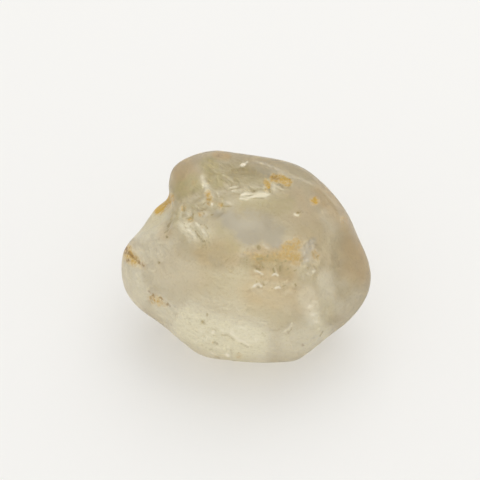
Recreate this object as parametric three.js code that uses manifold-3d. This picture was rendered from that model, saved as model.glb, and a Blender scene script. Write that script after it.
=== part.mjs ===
// A water-worn topaz crystal: one glassy pebble with a rounded knob, a chipped scar that curls
// round a smooth hollow, sunken pits, and a flat cleavage base that it rests on.
// Millimetres, +Z up, +Y away from the viewer. The origin is the middle of the bounding box's foot.
import * as THREE from "three";
import { mergeVertices } from "three/addons/utils/BufferGeometryUtils.js";
import { ImprovedNoise } from "three/addons/math/ImprovedNoise.js";
import Module from "manifold-3d";

const { degToRad, lerp, smoothstep } = THREE.MathUtils;
const wasm = await Module();
wasm.setup();

// Driving dimensions
const LENGTH = 28; // from tip to tip
const DRAWN_LENGTH = 28; // the length that the places and sizes below belong to
const FACE_RISE = degToRad(50); // how far above the horizontal the stone's face looks
const FACE_DEPTH = 11.2; // from the middle of the stone out to its face
const BACK_DEPTH = 10.9;
const BASE_DROP = 10.2; // from the middle down to the cleavage base
const FULLNESS = 2.25; // 2 makes the sides an ellipse, and more makes them boxier
const MESH_DETAIL = 17;

// The stone is shaped in the frame of its face: u to the right, v up the face and w out of it.
// This is its outline seen square to the face, clockwise from the left tip.
const OUTLINE = [
  [-14.17, -1.2], [-13.9, 0.7], [-13.4, 1.6], [-11.97, 3.25], [-10.17, 5.79], [-9.0, 6.65],
  [-8.66, 7.95], [-8.22, 9.8], [-7.03, 10.94], [-5.5, 11.72], [-3.52, 12.13], [-1.2, 11.83],
  [4.05, 10.95], [6.42, 10.08], [8.2, 8.66], [10.05, 6.7], [11.43, 4.76], [12.44, 2.46],
  [13.3, 0.4], [13.82, -1.79], [13.58, -3.82], [12.68, -5.63], [11.18, -7.3], [8.92, -9.02],
  [7.02, -10.69], [5.63, -11.73], [3.24, -11.86], [-0.6, -11.6], [-3.5, -11.32], [-5.32, -10.8],
  [-7.15, -9.47], [-9.74, -7.28], [-11.54, -6.08], [-13.0, -4.74], [-13.86, -3.12],
];

// Worn crystal faces: the normal as [u, v, w], the distance from the middle, and how softly the
// face runs into the rest
const WORN_FACES = [
  { normal: [-0.05, 0.66, 0.77], distance: 9.7, blend: 3.2 }, // lies on top
  { normal: [-0.06, -0.68, 0.73], distance: 10.7, blend: 2.6 }, // looks forward
  { normal: [0.62, -0.12, 0.78], distance: 11.9, blend: 2.6 },
  { normal: [-0.66, -0.1, 0.75], distance: 10.8, blend: 2.8 },
  { normal: [-0.5, 0.28, -0.82], distance: 9.9, blend: 2 },
  { normal: [0.62, 0.2, -0.76], distance: 10.4, blend: 2 },
  { normal: [0.1, 0.72, -0.69], distance: 10.6, blend: 2.2 },
  { normal: [0.25, -0.8, -0.55], distance: 10.6, blend: 2.4 },
];

// Round swellings of the face, hollows where the height is negative, as [u, v] and half widths
const MOUNDS = [
  { at: [-6.3, 9.0], half: [4.2, 4.2], height: 0.8 }, // the knob
  { at: [12.0, -1.8], half: [3.6, 5.0], height: 0.4 }, // the right lobe
  { at: [-12.4, -2.6], half: [3.2, 3.6], height: 0.45 }, // the left tip
  { at: [0.8, 3.5], half: [4.6, 2.9], height: -0.5 }, // the smooth hollow
  { at: [3.4, -1.2], half: [4.8, 2.8], height: -0.3 }, // where the pits gather
];

// Furrows of the face along lines of [u, v] points: the half width of the bottom, the half width
// in all, and the depth
const FURROWS = [
  {
    line: [[-6.2, 2.3], [-5.5, 4.8], [-4.4, 7.7], [-2.2, 8.9], [0.5, 9.0], [3.9, 8.3]],
    bottom: 1.2,
    reach: 2.3,
    depth: 0.45,
  }, // the chipped scar
  { line: [[9.9, 1.6], [9.6, -3.4], [8.9, -6.2]], bottom: 0, reach: 1.9, depth: 0.35 },
  { line: [[-5.6, -7.3], [-2.6, -8.6], [0.2, -9.8]], bottom: 0, reach: 0.9, depth: 0.22 },
];

// The shoulder left of the knob lies lower than the crease between them, by drop at its top
const CREASE = { u: -8.25, v: 5.2, bow: 0.06, width: 0.9 };
const SHOULDER = { drop: 1.5, foot: 1.9, top: 4.5 };

// Dishes broken or dissolved out of the face: [u, v], the turn and the dip of the bottom in
// degrees, [length, width, depth] and the number of sides
const CHIPS = [
  { at: [-5.9, 2.7], turn: -52, dip: 6, size: [4.2, 1.9, 0.38], sides: 6 },
  { at: [-6.3, 4.9], turn: -70, dip: -8, size: [2.8, 1.7, 0.4], sides: 5 },
  { at: [-4.0, 5.4], turn: -30, dip: 5, size: [2.8, 2.0, 0.26], sides: 7 },
  { at: [-5.4, 7.2], turn: 62, dip: 7, size: [2.4, 1.6, 0.36], sides: 5 },
  { at: [-4.6, 8.5], turn: 95, dip: 0, size: [1.5, 1.1, 0.4], sides: 3 },
  { at: [-3.0, 9.9], turn: 24, dip: -8, size: [2.9, 1.5, 0.4], sides: 6 },
  { at: [-2.1, 8.3], turn: 12, dip: 8, size: [3.0, 1.7, 0.36], sides: 5 },
  { at: [-0.4, 9.9], turn: -8, dip: -9, size: [3.6, 1.4, 0.4], sides: 7 },
  { at: [0.4, 7.4], turn: -4, dip: 12, size: [4.8, 1.2, 0.42], sides: 6 },
  { at: [2.1, 9.5], turn: -12, dip: 3, size: [3.0, 1.6, 0.3], sides: 6 },
  { at: [3.9, 8.2], turn: -24, dip: -7, size: [2.7, 1.4, 0.4], sides: 5 },
];
const CHIP_FLARE = 0.3;

const FACE_PITS = [
  { at: [1.5, -1.0], turn: 100, size: [1.6, 1.5, 0.42] },
  { at: [3.3, -1.3], turn: 35, size: [1.5, 1.3, 0.42] },
  { at: [1.4, -2.6], turn: 80, size: [1.8, 1.6, 0.45] },
  { at: [3.5, -2.9], turn: 95, size: [1.5, 1.4, 0.4] },
  { at: [5.1, -3.1], turn: 110, size: [1.3, 1.2, 0.35] },
  { at: [7.3, 1.0], turn: 75, size: [1.5, 1.1, 0.35] },
  { at: [8.0, -0.5], turn: 50, size: [1.6, 1.2, 0.35] },
  { at: [7.2, -1.7], turn: 110, size: [1.2, 1.1, 0.3] },
  { at: [5.8, 5.1], turn: 20, size: [0.9, 0.8, 0.3] },
  { at: [-0.5, 0.6], turn: 40, size: [1.2, 1.0, 0.3] },
];

// Pits and chips away from the face, by their bearing from u towards v and their rise towards w
const FAR_DISHES = [
  { bearing: 205, rise: -38, turn: 10, size: [2.4, 1.9, 0.5], sides: 3 },
  { bearing: 186, rise: -52, turn: 40, size: [1.7, 1.3, 0.4], sides: 3 },
  { bearing: 44, rise: -27, turn: 120, size: [5.2, 3.4, 0.45], sides: 7 },
  { bearing: 62, rise: -47, turn: 70, size: [2.8, 2.1, 0.5], sides: 3 },
  { bearing: 118, rise: -33, turn: 30, size: [2.2, 1.8, 0.45], sides: 3 },
  { bearing: 140, rise: -22, turn: 75, size: [4.2, 2.4, 0.4], sides: 6 },
  { bearing: 350, rise: -34, turn: 80, size: [2.3, 1.8, 0.45], sides: 3 },
  { bearing: 330, rise: -20, turn: 30, size: [1.5, 1.3, 0.35], sides: 3 },
  { bearing: 82, rise: -16, turn: 15, size: [3.4, 1.8, 0.35], sides: 6 },
  { bearing: 98, rise: -52, turn: 100, size: [2.0, 1.6, 0.4], sides: 3 },
  { bearing: 74, rise: -66, turn: 40, size: [1.5, 1.2, 0.35], sides: 3 },
  { bearing: 20, rise: -46, turn: 10, size: [1.8, 1.5, 0.4], sides: 3 },
  { bearing: 8, rise: -18, turn: 60, size: [2.6, 1.5, 0.3], sides: 5 },
  { bearing: 36, rise: -64, turn: 25, size: [3.2, 2.0, 0.35], sides: 7 },
  { bearing: 128, rise: -60, turn: 60, size: [2.6, 1.8, 0.35], sides: 6 },
  { bearing: 160, rise: -40, turn: 120, size: [1.9, 1.5, 0.4], sides: 3 },
  { bearing: 172, rise: -20, turn: 80, size: [2.8, 1.4, 0.3], sides: 5 },
  { bearing: 232, rise: -26, turn: 20, size: [1.6, 1.3, 0.35], sides: 3 },
  { bearing: 308, rise: -28, turn: 140, size: [1.8, 1.4, 0.35], sides: 3 },
];
const PIT_FLARE = 0.85;

// Cracks: straight grooves in the face between two [u, v] points
const CRACKS = [
  { from: [-13.5, 1.2], to: [-11.3, -1.3], width: 0.9, depth: 0.6 },
  { from: [-11.0, -3.5], to: [-9.9, -4.4], width: 0.28, depth: 0.25 },
  { from: [-10.5, -3.7], to: [-8.7, -5.5], width: 0.32, depth: 0.3 },
  { from: [-9.9, -3.6], to: [-8.6, -4.9], width: 0.28, depth: 0.25 },
];

// Slow swell of the whole surface
const SWELL = { wavelength: 8.5, height: 0.55 };

const toVector = ([u, v]) => new THREE.Vector3(u, v, 0);

function softMin(a, b, blend) {
  const share = THREE.MathUtils.clamp(0.5 + (0.5 * (b - a)) / blend, 0, 1);
  return lerp(b, a, share) - blend * share * (1 - share);
}

const outlineSamples = new THREE.CatmullRomCurve3(OUTLINE.map(toVector), true, "centripetal")
  .getPoints(900)
  .map((p) => ({ angle: Math.atan2(p.y, p.x), radius: Math.hypot(p.x, p.y) }))
  .sort((a, b) => a.angle - b.angle);

function outlineRadius(angle) {
  const next = outlineSamples.findIndex((sample) => sample.angle >= angle);
  if (next <= 0) return outlineSamples[0].radius;
  const before = outlineSamples[next - 1];
  const after = outlineSamples[next];
  return lerp(before.radius, after.radius, (angle - before.angle) / (after.angle - before.angle));
}

// The outline with its notch and corners worn away, for what lies far in front of it or behind
const WORN_TURNS = [-34, -20, -7, 7, 20, 34].map(degToRad);
function wornRadius(angle) {
  const radii = WORN_TURNS.map((turn) =>
    outlineRadius(Math.atan2(Math.sin(angle + turn), Math.cos(angle + turn))));
  return radii.reduce((sum, radius) => sum + radius, 0) / radii.length;
}

function distanceToLine(u, v, line) {
  const point = new THREE.Vector3(u, v, 0);
  const distances = line.slice(1).map((end, i) => {
    const stretch = new THREE.Line3(toVector(line[i]), toVector(end));
    return stretch.closestPointToPoint(point, true, new THREE.Vector3()).distanceTo(point);
  });
  return Math.min(...distances);
}

// How far the face stands out at (u, v)
function faceRelief(u, v) {
  let relief = 0;
  for (const { at, half, height } of MOUNDS) {
    const share = Math.hypot((u - at[0]) / half[0], (v - at[1]) / half[1]);
    relief += height * (1 - smoothstep(share, 0, 1));
  }
  for (const { line, bottom, reach, depth } of FURROWS) {
    relief -= depth * (1 - smoothstep(distanceToLine(u, v, line), bottom, reach));
  }
  const creaseU = CREASE.u - CREASE.bow * (v - CREASE.v) ** 2;
  const beyond = smoothstep(creaseU - u, 0, CREASE.width);
  return relief - SHOULDER.drop * beyond * smoothstep(v, SHOULDER.foot, SHOULDER.top);
}

const noise = new ImprovedNoise();
function swell(point) {
  const { x, y, z } = point.clone().divideScalar(SWELL.wavelength);
  return SWELL.height * noise.noise(x + 3.1, y + 7.7, z + 1.9);
}

// From the middle of the stone to its surface along a unit direction, in the face's frame
function stoneRadius(direction) {
  const angle = Math.atan2(direction.y, direction.x);
  const lift = Math.abs(direction.z);
  const rim = lerp(outlineRadius(angle), wornRadius(angle), smoothstep(lift, 0.3, 0.85));
  const flat = Math.hypot(direction.x, direction.y) / rim;
  const deep = lift / (direction.z > 0 ? FACE_DEPTH : BACK_DEPTH);
  let radius = (flat ** FULLNESS + deep ** FULLNESS) ** (-1 / FULLNESS);
  for (const { normal, distance, blend } of WORN_FACES) {
    const facing = new THREE.Vector3(...normal).normalize().dot(direction);
    if (facing > 0.05) radius = softMin(radius, distance / facing, blend);
  }
  const point = direction.clone().multiplyScalar(radius);
  radius += swell(point) * smoothstep(Math.abs(point.z), 0, 4);
  return radius + faceRelief(point.x, point.y) * smoothstep(point.z, -1, 3);
}

const surfacePoint = (direction) => direction.clone().multiplyScalar(stoneRadius(direction));

// The surface's point and normal along a direction
function placeAlong(direction) {
  const side = new THREE.Vector3(0.31, 0.52, 0.79).cross(direction).normalize();
  const other = direction.clone().cross(side);
  const point = surfacePoint(direction);
  const [toSide, toOther] = [side, other].map((way) =>
    surfacePoint(direction.clone().addScaledVector(way, 0.04).normalize()).sub(point));
  const normal = toSide.cross(toOther).normalize();
  if (normal.dot(direction) < 0) normal.negate();
  return { point, normal };
}

// The same over (u, v) on the face, found by halving between the middle and well outside
function placeOnFace([u, v]) {
  let inside = 0;
  let outside = DRAWN_LENGTH;
  while (outside - inside > 1e-4) {
    const point = new THREE.Vector3(u, v, (inside + outside) / 2);
    if (point.length() < stoneRadius(point.clone().normalize())) inside = point.z;
    else outside = point.z;
  }
  return placeAlong(new THREE.Vector3(u, v, inside).normalize());
}

function placeByBearing({ bearing, rise }) {
  const direction = new THREE.Vector3(1, 0, 0);
  direction.applyAxisAngle(new THREE.Vector3(0, -1, 0), degToRad(rise));
  return placeAlong(direction.applyAxisAngle(new THREE.Vector3(0, 0, 1), degToRad(bearing)));
}

function solidOf(geometry) {
  const bare = geometry.clone();
  bare.deleteAttribute("normal");
  bare.deleteAttribute("uv");
  const { attributes, index } = mergeVertices(bare);
  const vertProperties = new Float32Array(attributes.position.array);
  const triVerts = new Uint32Array(index.array);
  return new wasm.Manifold(new wasm.Mesh({ numProp: 3, vertProperties, triVerts }));
}

function geometryOf(solid) {
  const { vertProperties, triVerts } = solid.getMesh();
  const geometry = new THREE.BufferGeometry();
  geometry.setAttribute("position", new THREE.BufferAttribute(vertProperties, 3));
  geometry.setIndex(new THREE.BufferAttribute(triVerts, 1));
  geometry.computeVertexNormals();
  return geometry;
}

// Sets a cutter on a place, with its +Z along the normal and its +X towards a direction
function setOn({ point, normal }, toward, cutter) {
  const across = toward.clone().projectOnPlane(normal).normalize();
  const matrix = new THREE.Matrix4().makeBasis(across, normal.clone().cross(across), normal);
  return solidOf(cutter.applyMatrix4(matrix.setPosition(point)));
}

// A dish with sloping sides: a many-sided cone cut off at the depth of its bottom
function dish(place, { turn, dip = 0, size: [length, width, depth], sides = 3 }, flare) {
  const cutter = new THREE.CylinderGeometry(1 + 2 * flare, 1 - flare, 3, sides);
  cutter.rotateX(Math.PI / 2).translate(0, 0, 0.5);
  cutter.scale(length / 2, width / 2, depth).rotateX(degToRad(dip));
  const along = new THREE.Vector3(Math.cos(degToRad(turn)), Math.sin(degToRad(turn)), 0);
  return setOn(place, along, cutter);
}

function crack({ from, to, width, depth }) {
  const middle = placeOnFace([(from[0] + to[0]) / 2, (from[1] + to[1]) / 2]);
  const along = placeOnFace(to).point.sub(placeOnFace(from).point);
  const wedge = new THREE.OctahedronGeometry(1).scale(along.length() / 2, width / 2, depth);
  return setOn(middle, along, wedge);
}

// A ball pushed in or out to the stone's radius all over
function wornBody() {
  const ball = mergeVertices(new THREE.IcosahedronGeometry(1, MESH_DETAIL).deleteAttribute("uv"));
  const { position } = ball.attributes;
  for (let i = 0; i < position.count; i++) {
    const point = surfacePoint(new THREE.Vector3().fromBufferAttribute(position, i).normalize());
    position.setXYZ(i, point.x, point.y, point.z);
  }
  return solidOf(ball);
}

// The flat that split off square to the vertical, as a block below it in the face's frame
function cleavageBase(toFace) {
  const block = new THREE.BoxGeometry(2 * DRAWN_LENGTH, 2 * DRAWN_LENGTH, DRAWN_LENGTH);
  block.translate(0, 0, -BASE_DROP - DRAWN_LENGTH / 2);
  return solidOf(block.applyMatrix4(toFace));
}

function topazGeometry() {
  const up = new THREE.Vector3(0, Math.sin(FACE_RISE), Math.cos(FACE_RISE));
  const out = new THREE.Vector3(0, -Math.cos(FACE_RISE), Math.sin(FACE_RISE));
  const toRest = new THREE.Matrix4().makeBasis(new THREE.Vector3(1, 0, 0), up, out);
  const cutters = [
    ...CHIPS.map((chip) => dish(placeOnFace(chip.at), chip, CHIP_FLARE)),
    ...FACE_PITS.map((pit) => dish(placeOnFace(pit.at), pit, PIT_FLARE)),
    ...FAR_DISHES.map((far) =>
      dish(placeByBearing(far), far, far.sides > 3 ? CHIP_FLARE : PIT_FLARE)),
    ...CRACKS.map(crack),
    cleavageBase(toRest.clone().invert()),
  ];
  const solid = cutters.reduce((stone, cutter) => stone.subtract(cutter), wornBody());
  const scale = LENGTH / DRAWN_LENGTH;
  return geometryOf(solid).applyMatrix4(toRest).scale(scale, scale, scale);
}

const frostedTopaz = new THREE.MeshStandardMaterial({
  color: 0xc9bd9c,
  roughness: 0.35,
  metalness: 0,
});

const crystal = new THREE.Mesh(topazGeometry(), frostedTopaz);
crystal.name = "topaz_crystal";
crystal.geometry.computeBoundingBox();
const { min, max } = crystal.geometry.boundingBox;
crystal.position.set(-(min.x + max.x) / 2, -(min.y + max.y) / 2, -min.z);

const topaz = new THREE.Group();
topaz.add(crystal);

export default topaz;
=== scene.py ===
"""Dresses a water-worn topaz crystal: a frosted, see-through pebble on a pale studio floor."""

import math

import bpy
import numpy as np
from bpy.props import FloatProperty, FloatVectorProperty, IntProperty, PointerProperty
from mathutils import Matrix, Vector


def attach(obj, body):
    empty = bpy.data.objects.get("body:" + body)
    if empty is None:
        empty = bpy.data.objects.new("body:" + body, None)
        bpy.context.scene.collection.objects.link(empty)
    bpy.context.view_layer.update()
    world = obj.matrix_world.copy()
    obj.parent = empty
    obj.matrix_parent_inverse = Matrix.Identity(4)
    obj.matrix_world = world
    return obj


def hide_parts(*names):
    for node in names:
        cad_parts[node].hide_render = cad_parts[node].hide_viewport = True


bl_info = {
    "name": "Water-worn Topaz",
    "version": (1, 0, 0),
    "blender": (4, 5, 0),
    "location": "View3D > Sidebar > Topaz",
    "description": "Builds a frosted, water-worn topaz crystal and the stage that it lies on",
    "category": "Add Mesh",
}

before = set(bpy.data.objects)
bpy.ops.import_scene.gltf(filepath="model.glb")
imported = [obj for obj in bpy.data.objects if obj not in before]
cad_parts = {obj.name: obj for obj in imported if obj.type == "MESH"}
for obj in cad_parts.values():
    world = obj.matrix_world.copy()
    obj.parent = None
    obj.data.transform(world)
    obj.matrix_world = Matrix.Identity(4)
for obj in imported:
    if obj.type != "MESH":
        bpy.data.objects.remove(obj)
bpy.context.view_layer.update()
CAD_NODE = "topaz_crystal"

MM = 0.001

# Corners of the CAD solid's triangles that are closer than this are one
MERGE_DISTANCE = 0.001 * MM

# Topaz bends light by this index, and takes its tint at this density per metre
TOPAZ_IOR = 1.62
TINT_DENSITY = 36.0

# The stage, in metres and watts: a sheet that glows a little under a bright tent, and a softbox
# above and behind the stone
SHEET_WIDTH = 3
SHEET_ROUGHNESS = 0.9
SHEET_SPECULAR = 0.1
SHEET_GLOW = 0.3
GLOW_COLOUR = (1, 0.99, 0.97, 1)
TENT_STRENGTH = 0.8
TENT_COLOUR = (1, 1, 1, 1)
SOFTBOX_PLACE = (0.1, 0.25, 0.54)
SOFTBOX_WIDTH = 0.6
SOFTBOX_POWER = 1.2

# The stone's face has a frame of its own, as in the CAD source: u to the right, v up the face
# and w out of it, in millimetres from the middle of the stone
FACE_RISE = math.radians(50)
MIDDLE = Vector((0.05, -0.11, 10.2)) * MM
FACE_AXES = Matrix((
    (1, 0, 0),
    (0, math.sin(FACE_RISE), math.cos(FACE_RISE)),
    (0, -math.cos(FACE_RISE), math.sin(FACE_RISE)),
))

# The photograph is 480 pixels wide and high. The stone's 28 millimetres are 249 of them, and
# the middle of the stone lies a little off the middle of the picture
PHOTO_PIXELS = 480
STONE_LENGTH = 28
STONE_PIXELS = 249
PHOTO_MIDDLE = (246, 258)
PIXEL = STONE_LENGTH / STONE_PIXELS

# The camera looks along w at the middle of the picture, from where the picture fills its view.
# Its lens and sensor are in millimetres
CAMERA_AIM = np.array((
    (PHOTO_PIXELS / 2 - PHOTO_MIDDLE[0]) * PIXEL,
    (PHOTO_MIDDLE[1] - PHOTO_PIXELS / 2) * PIXEL,
))
LENS = 150
SENSOR = 36
CAMERA_DISTANCE = PHOTO_PIXELS * PIXEL * LENS / SENSOR
CLIP_START = 0.01

# Marks fade in between these two values of w, where the back turns into the face, and the crisp
# ones begin at this share of that fade. The painted shade along the rim reaches this far to both
# sides of w = 0
FACE_START = -5
FACE_FULL = -0.5
CRISP_FROM = 0.85
RIM_REACH = 4.0

# A soft mark has its full strength over this share of its half width, and a pit its full depth
# over this one. Vertices that weigh less than the faintest stay out of a group
SOLID_SHARE = 0.25
PIT_FLOOR = 0.1
FAINTEST = 0.002

# Each mark is a line of (u, v) points, where the camera sees it, its half width and its strength.
# The skin is broken in three zones: the chipped scar, the gathered pits and the sugary foot
SCAR = [
    ([(-7.4, 4.6), (-6.4, 3.4), (-4.8, 2.2)], 1.7, 1.0),
    ([(-6.6, 5.6), (-4.6, 6.0), (-3.0, 6.4)], 1.5, 0.9),
    ([(-5.2, 7.6), (-3.6, 7.4)], 1.4, 0.7),
    ([(-3.6, 9.4), (-1.8, 8.3), (0.5, 8.2), (3.9, 8.4)], 1.9, 1.0),
    ([(-3.4, 10.6), (-0.3, 10.3)], 1.4, 0.8),
]
GATHERED_PITS = [
    ([(0.2, 0.6), (2.6, -0.4), (5.0, 0.4)], 2.4, 1.0),
    ([(1.6, -2.2), (4.4, -2.8)], 2.0, 0.9),
    ([(7.2, 1.6), (6.9, 0.2), (7.4, -1.4)], 1.4, 0.7),
    ([(-2.6, -0.2), (-0.4, -1.4)], 2.4, 0.8),
    ([(7.2, -5.0), (7.9, -7.2)], 1.4, 0.6),
]
FOOT = [([(-7.2, -7.6), (-3.6, -8.6), (0.6, -9.4)], 3.2, 1.0)]

# Small round pits: their place, half width and depth
CUPS = [
    ((1.3, -0.8), 0.8, 0.34),
    ((3.4, -0.9), 0.7, 0.28),
    ((5.9, 5.05), 0.42, 0.3),
    ((-4.8, 1.9), 0.4, 0.22),
    ((-8.9, 2.35), 0.35, 0.2),
    ((6.9, -1.0), 0.5, 0.22),
    ((7.3, 1.5), 0.6, 0.2),
    ((1.3, 1.2), 0.5, 0.18),
    ((-4.9, -7.2), 0.45, 0.16),
    ((-3.7, -9.4), 0.4, 0.15),
    ((-2.2, -10.2), 0.35, 0.12),
    ((4.7, -8.3), 0.4, 0.15),
    ((7.5, -9.2), 0.35, 0.12),
]

# Scarps: a line, how deep the stone lies there after a drop as wide as the edge, and how far to
# the right of the line it has risen again
SCARP_EDGE = 0.2
SCARPS = [
    ([(0.8, -1.3), (1.35, -1.5), (1.8, -1.75)], 0.12, 0.6),
    ([(2.8, -2.0), (3.15, -1.7), (3.4, -1.65), (3.75, -2.05)], 0.12, 0.6),
    ([(0.55, -3.25), (1.0, -3.0), (1.5, -2.95), (1.85, -3.2)], 0.12, 0.7),
    ([(3.0, -3.45), (3.5, -3.2), (3.9, -3.4)], 0.1, 0.6),
    ([(4.6, -4.0), (5.2, -3.7), (5.5, -3.8)], 0.1, 0.6),
    ([(-4.0, -7.9), (-2.9, -8.4), (-1.6, -9.0), (-0.4, -9.6), (0.7, -9.8), (1.8, -9.5)], 0.22, 1.2),
    ([(-4.6, -10.3), (-3.5, -10.6), (-2.0, -11.1)], 0.16, 0.8),
    ([(-7.7, 5.0), (-6.3, 4.6), (-5.2, 4.1)], 0.24, 1.1),
    ([(-5.7, 3.3), (-5.2, 2.5), (-4.7, 1.8)], 0.2, 0.7),
    ([(-5.0, 3.5), (-4.4, 2.7), (-4.2, 2.2)], 0.2, 0.6),
    ([(-6.9, 6.0), (-6.0, 5.6), (-5.0, 5.9)], 0.18, 0.7),
    ([(-4.4, 6.5), (-3.6, 6.7), (-2.9, 6.2)], 0.18, 0.7),
    ([(-2.9, 8.9), (-1.9, 8.2), (-0.8, 8.05), (-0.3, 7.9)], 0.22, 0.6),
    ([(-1.0, 7.75), (0.4, 7.55), (2.4, 7.7)], 0.28, 0.9),
    ([(-2.1, 9.7), (-0.4, 9.95), (1.0, 9.7)], 0.3, 1.0),
    ([(-0.7, 10.8), (0.2, 11.0)], 0.2, 0.7),
    ([(2.8, 9.3), (3.8, 9.4), (4.8, 8.9)], 0.26, 0.7),
    ([(1.9, 8.1), (2.4, 8.6), (2.8, 8.8)], 0.16, 0.6),
    ([(6.4, 1.5), (7.1, 2.0), (7.9, 1.4)], 0.16, 0.6),
    ([(7.0, -1.2), (7.6, -1.0), (8.0, -1.4)], 0.16, 0.5),
    ([(1.1, 11.0), (3.0, 10.5), (5.0, 9.6), (7.4, 8.2), (9.0, 6.8), (10.2, 5.2)], 0.1, 0.9),
]

# Yellow ochre in cracks and pits
IRON = [
    ([(-8.7, 6.7), (-9.2, 6.2), (-9.9, 5.5)], 0.95, 1.1),
    ([(3.1, 9.0), (4.0, 8.9), (4.7, 8.5)], 0.7, 1.5),
    ([(2.2, 8.6), (2.5, 8.2), (2.4, 7.7)], 0.5, 1.0),
    ([(7.7, 6.45)], 0.75, 1.0),
    ([(4.4, 1.1), (5.0, 1.4), (5.6, 1.3), (5.7, 1.8)], 1.0, 0.7),
    ([(4.8, 0.3), (5.4, 0.05), (6.0, 0.1)], 0.9, 0.7),
    ([(5.3, -0.4), (5.8, -0.6)], 0.6, 0.5),
    ([(3.2, 0.3), (4.0, 0.2), (4.7, 0.7)], 0.8, 0.6),
    ([(1.1, 0.1), (1.9, 0.0)], 0.7, 0.7),
    ([(2.2, -0.1), (3.0, 0.0)], 0.7, 0.55),
    ([(1.3, -0.6), (1.5, -1.1)], 0.5, 0.5),
    ([(0.0, 0.5), (0.9, 0.5)], 0.5, 0.45),
    ([(7.7, 0.5), (7.9, 0.2)], 0.65, 0.6),
    ([(-13.5, 1.0), (-13.2, 0.3), (-12.6, -0.3)], 0.95, 0.75),
    ([(-13.1, -0.2)], 0.7, 0.6),
    ([(-12.3, -0.4), (-11.5, -0.9)], 0.7, 0.3),
    ([(-10.8, -4.4), (-10.4, -4.9)], 0.55, 0.45),
    ([(-10.3, -4.4), (-9.8, -5.1)], 0.6, 0.6),
    ([(-9.7, -4.6), (-9.1, -5.2)], 0.55, 0.45),
    ([(-7.1, 5.6)], 0.5, 0.8),
    ([(-5.8, 8.4)], 0.6, 0.3),
    ([(-4.3, 7.3), (-4.05, 6.3)], 0.6, 0.8),
    ([(-2.9, 5.95)], 0.5, 0.9),
    ([(-6.25, 4.3)], 0.5, 0.8),
    ([(-5.1, 4.95)], 0.5, 0.7),
    ([(10.9, 4.3)], 0.7, 0.4),
    ([(-0.8, -11.0)], 0.5, 0.4),
]
# Dark brown lines at the bottom of cracks
RUST = [
    ([(-13.51, 1.08)], 0.34, 1.0),
    ([(-13.65, 0.61), (-13.26, 0.56)], 0.3, 0.6),
    ([(-13.4, 0.8), (-12.7, 0.1), (-12.14, -0.4), (-11.5, -0.93)], 0.28, 0.52),
    ([(-13.38, -0.27), (-13.08, -0.22)], 0.3, 0.6),
    ([(-11.0, -3.67), (-10.65, -4.02), (-10.23, -4.37)], 0.24, 0.45),
    ([(-9.67, -4.44), (-9.25, -4.79), (-8.82, -5.21), (-8.61, -5.42)], 0.24, 0.45),
    ([(-10.75, -4.45), (-10.57, -4.65)], 0.3, 0.3),
    ([(3.1, 9.0), (3.6, 8.9)], 0.4, 0.5),
    ([(6.4, -9.8)], 0.3, 0.5),
    ([(-3.0, 11.5)], 0.5, 0.4),
]
# Crushed, white lips and edges, with painted highlights on the bright ledge, the pit lips
# and the top right rim
CHALK_AND_HIGHLIGHTS = [
    ([(-0.2, 7.35), (1.0, 7.2), (2.3, 7.35)], 0.6, 0.35),
    ([(-0.6, 6.8), (0.8, 6.85)], 0.3, 0.3),
    ([(3.15, 8.2), (3.3, 7.6)], 0.5, 0.4),
    ([(-4.9, 8.9), (-4.5, 7.9)], 0.8, 0.45),
    ([(1.0, -3.4), (1.5, -3.7)], 0.7, 0.35),
    ([(6.6, 0.8), (6.9, -0.2)], 0.8, 0.25),
    ([(-6.4, 3.6), (-4.8, 2.3)], 1.2, 0.15),
    ([(-1.2, -8.2), (0.8, -8.9)], 1.4, 0.3),
    ([(7.2, -5.2), (7.5, -6.4)], 1.1, 0.4),
    ([(7.8, -7.0)], 0.9, 0.45),
    ([(1.0, 10.9), (4.6, 9.4), (8.2, 8.1), (10.2, 5.9), (10.7, 4.3)], 0.26, 0.3),
    ([(-12.6, -1.2), (-12.4, -3.4)], 0.5, 0.2),
]
# The most finely pitted skin, paler, which also paints the glow where light comes through the
# lower front and other brighter parts
FROST_AND_GLOW = [
    ([(-6.2, -7.4), (-3.6, -8.6), (0.8, -9.4)], 3.6, 1.0),
    ([(-10.4, -4.6), (-6.0, -5.8), (-2.0, -6.0)], 2.8, 0.25),
    ([(-12.6, 0.0), (-13.0, -2.0), (-12.2, -4.2)], 2.6, 0.6),
    ([(-9.8, -5.2), (-8.0, -6.6)], 1.9, 0.6),
    ([(-11.6, 2.8), (-9.8, 4.6)], 2.4, 0.55),
    ([(-10.0, 1.2), (-9.0, -2.0)], 3.2, 0.4),
    ([(-8.0, -1.0), (-6.6, -2.2)], 2.6, 0.3),
    ([(-7.0, 4.2), (-5.0, 2.5)], 1.9, 0.4),
    ([(6.9, -4.6), (7.8, -7.4)], 2.2, 0.5),
    ([(9.0, -2.4), (9.4, -5.0), (8.9, -6.2)], 1.6, 0.35),
    ([(0.2, 7.25), (1.0, 7.15), (2.1, 7.3)], 1.0, 0.5),
    ([(4.6, -9.8), (8.2, -8.4)], 2.6, 0.55),
    ([(11.6, -3.6), (10.6, -5.2)], 2.2, 0.3),
    ([(9.0, 4.8), (9.7, 3.6)], 1.4, 0.2),
    ([(3.0, -3.8), (5.2, -5.0)], 2.2, 0.2),
]
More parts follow.
